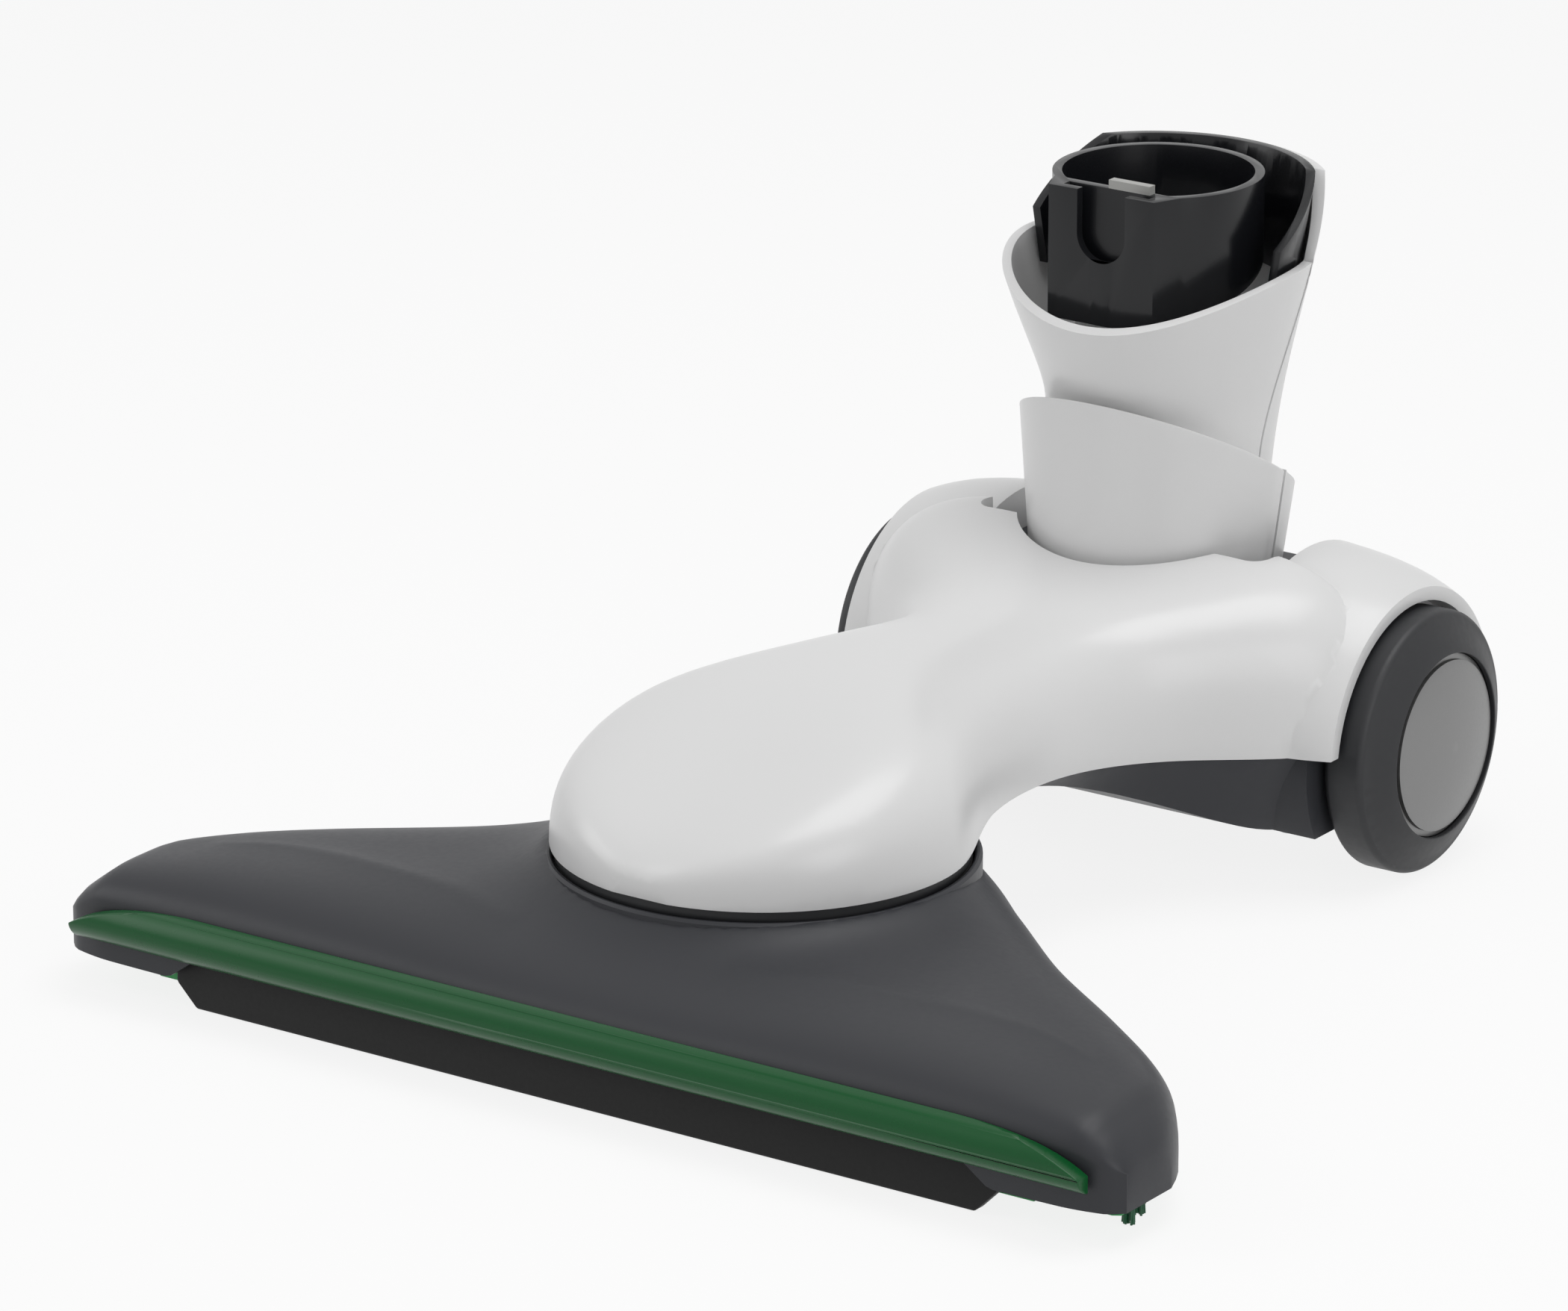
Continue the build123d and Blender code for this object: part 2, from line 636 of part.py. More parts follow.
# Wheels on their axle pins, one set on each side
hub_outer = tyre_face_x - cap_thickness
for side, name in ((-1, "left"), (1, "right")):
    wheel_axis = Axis((0, axle_y, axle_z), (side, 0, 0))
    wheel_plane = Plane((0, axle_y, axle_z), x_dir=(side, 0, 0), z_dir=(0, -side, 0))

    with BuildPart() as axle:
        with BuildSketch(wheel_plane):
            with Locations(((axle_inner_end + axle_outer_end) / 2, axle_radius / 2)):
                Rectangle(axle_outer_end - axle_inner_end, axle_radius)
        revolve(axis=wheel_axis)
    hand_over(axle.part, f"axle_{name}")

    with BuildPart() as axle_clip:
        with BuildSketch(wheel_plane):
            with Locations((axle_outer_end - axle_clip_height / 2, (axle_clip_radius + axle_radius) / 2)):
                Rectangle(axle_clip_height, axle_clip_radius - axle_radius)
        revolve(axis=wheel_axis)
    hand_over(axle_clip.part, f"axle_clip_{name}")

    with BuildPart() as tyre:
        with BuildSketch(wheel_plane):
            with BuildLine():
                Polyline(
                    (tyre_inner, tyre_seat_radius), (tyre_inner, tyre_bevel_radius),
                    (tyre_inner + tyre_radius - tyre_bevel_radius, tyre_radius), (tyre_shoulder, tyre_radius),
                )
                bevel = (tyre_bevel_x, tyre_bevel_radius)
                RadiusArc((tyre_shoulder, tyre_radius), bevel, tyre_bevel_x - tyre_shoulder)
                Polyline(
                    bevel, (tyre_face_x, tyre_face_radius), (hub_outer, tyre_face_radius),
                    (hub_outer, tyre_seat_radius), (tyre_inner, tyre_seat_radius),
                )
            make_face()
        revolve(axis=wheel_axis)
    hand_over(tyre.part, f"tyre_{name}")

    with BuildPart() as hub:
        with BuildSketch(wheel_plane):
            with BuildLine():
                bore = axle_radius + pin_clearance
                web_outer = axle_outer_end - axle_clip_height - touch_gap
                Polyline(
                    (tyre_inner, bore), (tyre_inner, hub_boss_radius),
                    (web_outer - hub_web, hub_boss_radius), (web_outer - hub_web, tyre_seat_radius - hub_web),
                    (tyre_inner, tyre_seat_radius - hub_web), (tyre_inner, tyre_seat_radius),
                    (hub_outer, tyre_seat_radius), (hub_outer, tyre_seat_radius - hub_web),
                    (web_outer, tyre_seat_radius - hub_web), (web_outer, bore), close=True,
                )
            make_face()
        revolve(axis=wheel_axis)
    hand_over(hub.part, f"hub_{name}")

    cap_inner = cap_edge_x - cap_thickness
    with BuildPart() as cap:
        with BuildSketch(wheel_plane):
            with BuildLine():
                flange = tyre_face_radius - touch_gap
                Polyline(
                    (cap_inner, 0), (cap_inner, flange), (cap_inner + cap_flange, flange),
                    (cap_inner + cap_flange, cap_radius), (cap_edge_x, cap_radius),
                )
                dome = (cap_radius ** 2 + cap_rise ** 2) / (2 * cap_rise)
                RadiusArc((cap_edge_x, cap_radius), (cap_edge_x + cap_rise, 0), dome)
                Line((cap_edge_x + cap_rise, 0), (cap_inner, 0))
            make_face()
        revolve(axis=wheel_axis)
    hand_over(cap.part, f"cap_{name}")

# Elbow drum: turns on two trunnions in the neck, with an airway from its front up to the collar
with BuildPart() as elbow_drum:
    with Locations((0, axle_y, tilt_z)):
        Cylinder(drum_radius, 2 * (recess_half - running_gap), rotation=(0, 90, 0))
    with Locations((0, axle_y, collar_bottom - touch_gap)):
        Box(far, far, far, align=(Align.CENTER, Align.CENTER, Align.MIN), mode=Mode.SUBTRACT)
    with Locations((0, axle_y, tilt_z)):
        Cylinder(trunnion_radius, 2 * (recess_half + recess_wall - touch_gap), rotation=(0, 90, 0))
    with Locations((0, collar_y, tilt_z)):
        disc_radius = collar_bottom_radius - collar_wall - drum_disc_gap
        Cylinder(
            disc_radius, collar_bottom + drum_disc_height - tilt_z,
            align=(Align.CENTER, Align.CENTER, Align.MIN),
        )
        Cylinder(duct_radius, far, align=(Align.CENTER, Align.CENTER, Align.MIN), mode=Mode.SUBTRACT)
        Cylinder(
            drum_window_radius, far, rotation=(90, 0, 0),
            align=(Align.CENTER, Align.CENTER, Align.MIN), mode=Mode.SUBTRACT,
        )
hand_over(elbow_drum.part, "elbow_drum")

# Collar: from a level ring on the drum up to a slanted lip, in a front and a rear half
lip_hole = swivel_outer + running_gap
with BuildPart() as collar:
    with BuildSketch(Plane((0, collar_y, collar_bottom))):
        Circle(collar_bottom_radius)
    with BuildSketch(slant):
        Circle(collar_top_radius)
    loft()
    with BuildSketch(Plane((0, collar_y, collar_bottom))):
        Circle(collar_bottom_radius - collar_wall)
    with BuildSketch(slant.offset(-collar_wall)):
        Circle(collar_top_radius - collar_wall)
    loft(mode=Mode.SUBTRACT)
    with BuildSketch(slant):
        Circle(lip_hole)
    extrude(amount=collar_wall, both=True, mode=Mode.SUBTRACT)
for name, ahead in (("collar_front", True), ("collar_rear", False)):
    with BuildPart() as half_collar:
        add(collar.part)
        seam_y = collar_y + collar_seam + (0 if ahead else touch_gap)
        with Locations((0, seam_y, slant_z)):
            half_side = Align.MAX if ahead else Align.MIN
            Box(far, far, far, align=(Align.CENTER, half_side, Align.CENTER), mode=Mode.INTERSECT)
    hand_over(half_collar.part, name)

# Swivel spigot and the clip that keeps it in the collar's lip
socket_foot = slant.offset(moving_gap)
with BuildPart() as swivel_spigot:
    with BuildSketch(socket_foot):
        Circle(swivel_outer)
        Circle(duct_radius, mode=Mode.SUBTRACT)
    extrude(amount=-swivel_depth)
hand_over(swivel_spigot.part, "swivel_spigot")

with BuildPart() as swivel_clip:
    with BuildSketch(slant.offset(-collar_wall - running_gap)):
        Circle(swivel_outer + swivel_clip_width)
        Circle(swivel_outer, mode=Mode.SUBTRACT)
    extrude(amount=-swivel_clip_height)
hand_over(swivel_clip.part, "swivel_clip")


def funnel_ring(height):
    """Distance behind the socket's axis and radius of the funnel at a height."""
    for (z0, d0, r0), (z1, d1, r1) in zip(funnel_rings, funnel_rings[1:]):
        if z0 <= height <= z1:
            along = (height - z0) / (z1 - z0)
            return d0 + along * (d1 - d0), r0 + along * (r1 - r0)
    raise ValueError(f"no funnel at height {height}")


# Funnel: slanted foot to a wide round top with a cup in it, in a front and a rear half
with BuildPart() as funnel:
    with BuildSketch(socket_foot):
        Circle(funnel_base_radius)
    for height, behind, radius in funnel_rings:
        with BuildSketch(Plane((0, socket_y + behind, height))):
            Circle(radius)
    loft()
    with BuildSketch(Plane((0, socket_y + funnel_rings[0][1], funnel_floor))):
        Circle(funnel_floor_radius)
    for height, behind, radius in funnel_rings:
        with BuildSketch(Plane((0, socket_y + behind, height))):
            Circle(radius - funnel_wall)
    loft(mode=Mode.SUBTRACT)
    with Locations((0, socket_y, slant_z)):
        Cylinder(funnel_bore, far, mode=Mode.SUBTRACT)
with BuildPart() as funnel_front:
    add(funnel.part)
    with BuildSketch(socket_side):
        with BuildLine():
            ThreePointArc(rim_front, rim_middle, rim_back)
            Polyline(rim_back, seam_foot, (-far, seam_foot[1]), (-far, rim_front[1]), rim_front)
        make_face()
    extrude(amount=far, both=True, mode=Mode.INTERSECT)
hand_over(funnel_front.part, "funnel_front")
with BuildPart() as funnel_rear:
    add(funnel.part)
    with BuildSketch(socket_side):
        with Locations((touch_gap, 0)):
            Polygon(
                seam_foot, (far, seam_foot[1]), (far, funnel_back_top), back_wall_corner, rim_back,
                align=None,
            )
    extrude(amount=far, both=True, mode=Mode.INTERSECT)
hand_over(funnel_rear.part, "funnel_rear")

# Liner inside the funnel's back wall, moulded in one with the tube socket
liner_gap = funnel_wall + moving_gap
with BuildPart() as liner:
    for inset, mode in ((liner_gap, Mode.ADD), (liner_gap + liner_thickness, Mode.SUBTRACT)):
        for height in (liner_bottom, liner_top):
            behind, radius = funnel_ring(height)
            with BuildSketch(Plane((0, socket_y + behind, height))):
                Circle(radius - inset)
        loft(mode=mode)
    with BuildSketch(socket_side):
        Polygon(
            (liner_front, liner_bottom), (far, liner_bottom), (far, liner_top), (liner_shoulder, liner_top),
            (liner_front, liner_front_top), align=None,
        )
    extrude(amount=far, both=True, mode=Mode.INTERSECT)

# Tube socket: black moulding with the tube's mouth, a front pocket with keyhole and the back wall's liner
pocket_front = socket_wall - socket_front
partition_back = pocket_front + pocket_depth + partition_thickness
with BuildPart() as tube_socket:
    with BuildSketch(Plane((0, socket_y, socket_low_front))):
        Circle(socket_radius)
        Polygon(
            (-socket_front_half, -socket_front), (socket_front_half, -socket_front),
            (socket_radius, 0), (-socket_radius, 0), align=None,
        )
    extrude(amount=socket_top - socket_low_front)
    with BuildSketch(socket_side):
        reach = 2 * (socket_radius + socket_front)
        Polygon(
            (-socket_front, socket_low_front), (reach - socket_front, socket_low_front),
            (reach - socket_front, socket_low_front + reach * socket_low_slope), align=None,
        )
    extrude(amount=far, both=True, mode=Mode.SUBTRACT)
    with BuildSketch(Plane((0, socket_y, socket_shelf))):
        Circle(socket_mouth_radius)
        with Locations((0, partition_back)):
            Rectangle(far, far, align=(Align.CENTER, Align.MIN), mode=Mode.INTERSECT)
    extrude(amount=far, mode=Mode.SUBTRACT)
    with Locations((0, socket_y, 0)):
        Cylinder(
            tube_bore + duct_wall, socket_shelf,
            align=(Align.CENTER, Align.CENTER, Align.MIN), mode=Mode.SUBTRACT,
        )
    with Locations((0, socket_y + pocket_front, pocket_floor)):
        Box(
            2 * pocket_half, pocket_depth, far,
            align=(Align.CENTER, Align.MIN, Align.MIN), mode=Mode.SUBTRACT,
        )
    with BuildSketch(cross_plane(socket_behind_ring - socket_front)):
        with Locations((0, notch_bottom + notch_half)):
            Circle(notch_half)
            Rectangle(2 * notch_half, far, align=(Align.CENTER, Align.MIN))
    extrude(amount=-socket_wall, mode=Mode.SUBTRACT)
    # Liner of the back wall, and the web that carries it
    add(liner.part)
    behind, radius = funnel_ring(web_heights[1])
    web_length = behind + radius - liner_gap - liner_thickness + web_bite - socket_mouth_radius
    with Locations((0, socket_y + socket_mouth_radius, web_heights[0])):
        Box(
            2 * web_half, web_length, web_heights[1] - web_heights[0],
            align=(Align.CENTER, Align.MIN, Align.MIN),
        )
hand_over(tube_socket.part, "tube_socket")

# Inner duct: white tube that takes the hose end
with BuildPart() as inner_duct:
    with BuildSketch(Plane((0, socket_y, funnel_floor))):
        Circle(tube_bore + duct_wall - touch_gap)
        Circle(tube_bore, mode=Mode.SUBTRACT)
    extrude(amount=socket_shelf - funnel_floor)
hand_over(inner_duct.part, "inner_duct")

# Contact block on top of the partition
with BuildPart() as contact_block:
    with Locations((contact_x, socket_y + partition_back - partition_thickness / 2, socket_top)):
        Box(*contact_size, align=(Align.CENTER, Align.CENTER, Align.MIN))
hand_over(contact_block.part, "contact_block")
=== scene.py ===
import json
import math
import random

import bpy
import numpy as np
from bpy.props import FloatProperty, IntProperty, PointerProperty, StringProperty
from mathutils import Matrix, Vector


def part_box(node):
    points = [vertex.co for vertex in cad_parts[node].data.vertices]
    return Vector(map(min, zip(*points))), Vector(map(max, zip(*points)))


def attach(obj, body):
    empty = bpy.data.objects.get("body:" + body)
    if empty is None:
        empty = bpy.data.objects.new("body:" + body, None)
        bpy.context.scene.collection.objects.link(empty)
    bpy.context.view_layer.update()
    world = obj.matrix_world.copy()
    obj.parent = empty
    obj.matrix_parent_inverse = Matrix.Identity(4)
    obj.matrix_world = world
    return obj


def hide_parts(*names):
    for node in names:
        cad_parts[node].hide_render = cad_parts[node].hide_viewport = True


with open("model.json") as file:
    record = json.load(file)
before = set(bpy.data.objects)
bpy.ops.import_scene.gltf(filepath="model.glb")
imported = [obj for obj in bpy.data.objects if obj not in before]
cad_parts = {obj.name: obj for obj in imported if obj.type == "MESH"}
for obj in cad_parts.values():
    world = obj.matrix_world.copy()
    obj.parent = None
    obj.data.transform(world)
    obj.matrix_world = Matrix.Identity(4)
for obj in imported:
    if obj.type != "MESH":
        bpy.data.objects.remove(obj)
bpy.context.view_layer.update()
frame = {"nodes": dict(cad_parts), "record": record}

bl_info = {
    "name": "Vacuum Floor Head",
    "version": (1, 0, 0),
    "blender": (4, 5, 0),
    "location": "View3D > Sidebar > Floor Head",
    "description": "Dresses the packed floor head with its skins, fibres, finishes and studio",
    "category": "Object",
}

MM = 0.001
IMAGE_WIDTH = 2100

# Seat of the head's swivel, and the top and foot of its cover, read off the frame
SEAT_LOW, SEAT_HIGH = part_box("seal_ring")
RING = (SEAT_LOW + SEAT_HIGH) / 2
RIM_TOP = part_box("head_cover")[1].z
COVER_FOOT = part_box("head_cover")[0].z

# Plan and crest of the head's cover in mm from the swivel axis: distance across, front, rear, crest
WING = (
    (0, -80.0, 58.0, 33.4), (30, -80.0, 52.5, 33.8), (55, -80.0, 32.5, 34.4), (82, -80.0, 9.0, 34.0),
    (112, -80.0, -13.0, 32.6), (136, -79.6, -32.5, 30.0), (148, -77.6, -47.5, 26.6),
    (151.6, -74.5, -56.0, 22.5),
)
# Soft crease along each wing: distance across and behind the swivel axis
CREASE = ((30, -57.0), (58, -49.5), (105, -45.5), (128, -50.0))
# Pocket behind the socket's keyhole, whose faces get painted shade: front wall, depth, half width and floor
# in mm
POCKET_FRONT, POCKET_DEPTH, POCKET_HALF, POCKET_FLOOR = 2.4, 2.7, 12.6, 150.4
# Keyhole in the socket's front: radius, height of its round end and reach of the cut in mm
KEYHOLE_RADIUS, KEYHOLE_CENTRE, KEYHOLE_REACH = 6.98, 159.0, 0.5
# Seams between front and rear halves: two points in mm behind the swivel axis and above the floor
FUNNEL_SEAM = ((184.5, 149.0), (163.3, 60.0))
COLLAR_SEAM = ((175.0, 110.0), (175.0, 60.0))
# How near a point lies to a seam, or a face to the pocket's front, to count as on it
SEAM_REACH, POCKET_SLACK = 0.3 * MM, 0.1 * MM
# Points closer than this are one, in copies of the CAD and in turned pieces
COPY_MERGE, LATHE_MERGE = 0.005 * MM, 0.01 * MM
GRAIN_DETAIL, GRAIN_STRENGTH = 3.0, 0.25


class FloorHeadSizes(bpy.types.PropertyGroup):
    """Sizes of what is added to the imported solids"""

    cover_wall: FloatProperty(
        name="Cover wall", description="Thickness of the head's moulded cover",
        default=2.4 * MM, unit="LENGTH",
    )
    rim_sweep: FloatProperty(
        name="Rim sweep", description="Distance over which the cover sweeps up to the neck's seat",
        default=10 * MM, unit="LENGTH",
    )
    crease_rise: FloatProperty(
        name="Crease rise", description="Height of the soft crease along each wing",
        default=0.9 * MM, unit="LENGTH",
    )
    seam_gap: FloatProperty(
        name="Seam gap", description="How far the rear half stands back at a seam",
        default=0.7 * MM, unit="LENGTH",
    )
    fibre_radius: FloatProperty(
        name="Fibre radius", description="Radius of one bristle fibre, drawn coarse enough to show",
        default=0.32 * MM, unit="LENGTH",
    )
    fibres_per_tuft: IntProperty(
        name="Fibres per tuft", description="Fibres drawn in each bristle tuft", default=16, min=3,
    )


class FloorHeadColours(bpy.types.PropertyGroup):
    """Colours of the mouldings, as sRGB hex"""

    white: StringProperty(name="White", description="Neck, collar and funnel", default="E4E4E4")
    grey: StringProperty(name="Grey", description="Head cover, tray and drum", default="35363A")
    strip: StringProperty(name="Strip", description="Front strip", default="065124")
    sole: StringProperty(name="Sole", description="Sole insert", default="0A9A46")
    black: StringProperty(name="Black", description="Socket, hubs and small parts", default="141518")
    rubber: StringProperty(name="Rubber", description="Tyres", default="232427")
    cap: StringProperty(name="Cap", description="Wheel caps", default="8A8A8A")
    floor: StringProperty(name="Floor", description="Studio floor", default="F4F4F4")


def linear(code):
    """Linear colour of an sRGB hex value."""
    parts = [int(code[i:i + 2], 16) / 255 for i in (0, 2, 4)]
    return [c / 12.92 if c <= 0.04045 else ((c + 0.055) / 1.055) ** 2.4 for c in parts] + [1.0]


def add_node(tree, kind, settings=(), values=(), links=()):
    """Adds a node, sets its options and sockets, and links its inputs."""
    node = tree.nodes.new(kind)
    for name, value in settings:
        setattr(node, name, value)
    for name, value in values:
        node.inputs[name].default_value = value
    for name, source in links:
        tree.links.new(source, node.inputs[name])
    return node


def finish_of(name, colour, roughness, ior=1.5, specular=0.5, metallic=0.0, grain=None, coat=0.0):
    """A moulded or plated finish. grain is its spacing and height in mm and its swing in roughness."""
    material = bpy.data.materials.new(name)
    material.use_nodes = True
    tree = material.node_tree
    shader = tree.nodes["Principled BSDF"]
    shader.inputs["Base Color"].default_value = linear(colour)
    shader.inputs["Roughness"].default_value = roughness
    shader.inputs["Metallic"].default_value = metallic
    shader.inputs["IOR"].default_value = ior
    shader.inputs["Specular IOR Level"].default_value = specular
    shader.inputs["Coat Weight"].default_value = coat
    if grain:
        spacing, height, swing = grain
        place = add_node(tree, "ShaderNodeTexCoord")
        noise = add_node(
            tree, "ShaderNodeTexNoise", values=[("Scale", 1 / (spacing * MM)), ("Detail", GRAIN_DETAIL)],
            links=[("Vector", place.outputs["Object"])],
        )
        bump = add_node(
            tree, "ShaderNodeBump", values=[("Strength", GRAIN_STRENGTH), ("Distance", height * MM)],
            links=[("Height", noise.outputs["Fac"])],
        )
        tree.links.new(bump.outputs["Normal"], shader.inputs["Normal"])
        rough = add_node(
            tree, "ShaderNodeMapRange", values=[("To Min", roughness - swing), ("To Max", roughness + swing)],
            links=[("Value", noise.outputs["Fac"])],
        )
        tree.links.new(rough.outputs["Result"], shader.inputs["Roughness"])
    return material


def seen_directly(tree):
    """1 for rays from the camera, off a glossy surface or through a clear one, otherwise 0."""
    ray = add_node(tree, "ShaderNodeLightPath")
    seen = ray.outputs["Is Camera Ray"]
    for kind in ("Is Glossy Ray", "Is Transmission Ray"):
        seen = add_node(
            tree, "ShaderNodeMath", settings=[("operation", "MAXIMUM")],
            links=[(0, seen), (1, ray.outputs[kind])],
        ).outputs["Value"]
    return seen


def make_finishes(colours):
    """One material for each real one."""
    return {
        # Polished-tool ABS: a soft sheen with a clear but blurred highlight
        "white_plastic": finish_of("white_moulded_abs", colours.white, 0.3, grain=(9.0, 0.02, 0.03)),
        # Spark-eroded ABS: satin, the highlight spreads wide
        "grey_plastic": finish_of(
            "grey_satin_abs", colours.grey, 0.42, specular=0.3, grain=(1.6, 0.03, 0.05),
        ),
        "dark_green_plastic": finish_of(
            "green_satin_abs", colours.strip, 0.28, specular=0.3, grain=(6.0, 0.02, 0.03),
        ),
        "bright_green_plastic": finish_of(
            "green_moulded_polypropylene", colours.sole, 0.42, grain=(3.0, 0.03, 0.05),
        ),
        # Polished polycarbonate blend: smooth, with soft reflections
        "gloss_black_plastic": finish_of(
            "gloss_black_polycarbonate", colours.black, 0.24, ior=1.55, specular=0.3, coat=0.08,
            grain=(12.0, 0.01, 0.03),
        ),
        "black_plastic": finish_of("black_moulded_nylon", colours.black, 0.5, grain=(1.5, 0.03, 0.06)),
        "tyre_rubber": finish_of(
            "soft_tyre_elastomer", colours.rubber, 0.5, ior=1.52, grain=(2.0, 0.03, 0.06),
        ),
        "black_rubber": finish_of(
            "black_lip_rubber", "080808", 0.6, specular=0.3, ior=1.52, grain=(1.2, 0.04, 0.06),
        ),
        # Metallised plastic, lacquered satin: grey with a broad bright patch
        "satin_cap": finish_of(
            "satin_metallised_cap", colours.cap, 0.38, metallic=0.85, grain=(0.9, 0.01, 0.05),
        ),
        "steel": finish_of("zinc_plated_steel", "B4B6B8", 0.32, metallic=1.0, grain=(0.6, 0.01, 0.06)),
        "felt": finish_of("pressed_felt", "232323", 0.95, grain=(0.8, 0.2, 0.03)),
        "contact_plastic": finish_of("pale_contact_polyamide", "A9A9A6", 0.4, grain=(2.0, 0.02, 0.05)),
        "bristle_fibre": finish_of("dark_nylon_fibre", "3A3B3C", 0.45, grain=(1.0, 0.02, 0.08)),
        "green_fibre": finish_of("green_nylon_fibre", "1E5B3C", 0.42, grain=(1.0, 0.02, 0.08)),
        # Painted shade: a near-black finish laid where only shade falls, inside the socket's pocket
        "recess_shadow": finish_of("painted_shade_recess", "0C0C0D", 0.8, grain=(1.5, 0.02, 0.05)),
    }


def only(piece):
    """Selects one object alone and makes it active."""
    bpy.ops.object.select_all(action="DESELECT")
    piece.hide_set(False)
    piece.select_set(True)
    bpy.context.view_layer.objects.active = piece


def settle(piece):
    """Puts the object's place into its mesh."""
    only(piece)
    bpy.ops.object.transform_apply(location=True, rotation=True, scale=True)


def paint(piece, finish):
    """Gives the whole piece one finish."""
    piece.data.materials.clear()
    piece.data.materials.append(FINISHES[finish])


def copy_of(node, name):
    """A merged copy of a CAD node's mesh."""
    source = frame["nodes"][node]
    piece = bpy.data.objects.new(name, source.data.copy())
    bpy.context.scene.collection.objects.link(piece)
    only(piece)
    bpy.ops.object.mode_set(mode="EDIT")
    bpy.ops.mesh.select_all(action="SELECT")
    bpy.ops.mesh.remove_doubles(threshold=COPY_MERGE)
    bpy.ops.object.mode_set(mode="OBJECT")
    return piece


def apply(piece, kind, **settings):
    """Adds a modifier, sets it and applies it."""
    only(piece)
    modifier = piece.modifiers.new(kind.lower(), kind)
    for name, value in settings.items():
        setattr(modifier, name, value)
    bpy.ops.object.modifier_apply(modifier=modifier.name)


def smooth(piece, degrees=32):
    """Smooth shading that keeps real edges."""
    only(piece)
    bpy.ops.object.shade_smooth_by_angle(angle=math.radians(degrees))


def open_seam(piece, seam, gap):
    """Draws a rear half back along its seam, so that the joint reads as a thin dark line."""
    (y0, z0), (y1, z1) = seam
    along = Vector((0, y1 - y0, z1 - z0)).normalized()
    away = Vector((0, -along.z, along.y))
    start = Vector((0, RING.y + y0 * MM, z0 * MM))
    for vertex in piece.data.vertices:
        if abs((vertex.co - start).dot(away)) < SEAM_REACH:
            vertex.co += away * gap


def hand_over(piece, body, slot, finish, *nodes):
    """Paints a piece, ties it to its body and hides the nodes it stands for."""
    paint(piece, finish)
    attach(piece, body)
    if nodes:
        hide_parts(*nodes)


def through(points, where):
    """Smooth curve through points, without overshoot."""
    xs, ys = np.array(points, float).T
    steps = np.diff(ys) / np.diff(xs)
    slopes = np.zeros(len(xs))
    for i in range(1, len(xs) - 1):
        a, b = steps[i - 1], steps[i]
        slopes[i] = 0 if a * b <= 0 else 2 * a * b / (a + b)
    slopes[-1] = steps[-1]
    i = int(np.clip(np.searchsorted(xs, where) - 1, 0, len(xs) - 2))
    span = xs[i + 1] - xs[i]
    t = (where - xs[i]) / span
    return (
        (2 * t**3 - 3 * t**2 + 1) * ys[i] + (t**3 - 2 * t**2 + t) * span * slopes[i]
        + (3 * t**2 - 2 * t**3) * ys[i + 1] + (t**3 - t**2) * span * slopes[i + 1]
    )


def lathe(name, profile, centre, direction, steps=96):
    """A turned piece: a closed profile of (along, radius) spun about an axis."""
    turn = Vector((0, 0, 1)).rotation_difference(Vector(direction)).to_matrix().to_4x4()
    mesh = bpy.data.meshes.new(name)
    edges = [(i, (i + 1) % len(profile)) for i in range(len(profile))]
    mesh.from_pydata([(r, 0, z) for z, r in profile], edges, [])
    piece = bpy.data.objects.new(name, mesh)
    bpy.context.scene.collection.objects.link(piece)
    only(piece)
    bpy.ops.object.mode_set(mode="EDIT")
    bpy.ops.mesh.select_all(action="SELECT")
    bpy.ops.mesh.spin(steps=steps, angle=2 * math.pi, center=(0, 0, 0), axis=(0, 0, 1))
    bpy.ops.mesh.select_all(action="SELECT")
    bpy.ops.mesh.remove_doubles(threshold=LATHE_MERGE)
    bpy.ops.mesh.normals_make_consistent(inside=False)
    bpy.ops.object.mode_set(mode="OBJECT")
    piece.matrix_world = Matrix.Translation(centre) @ turn
    settle(piece)
    return piece


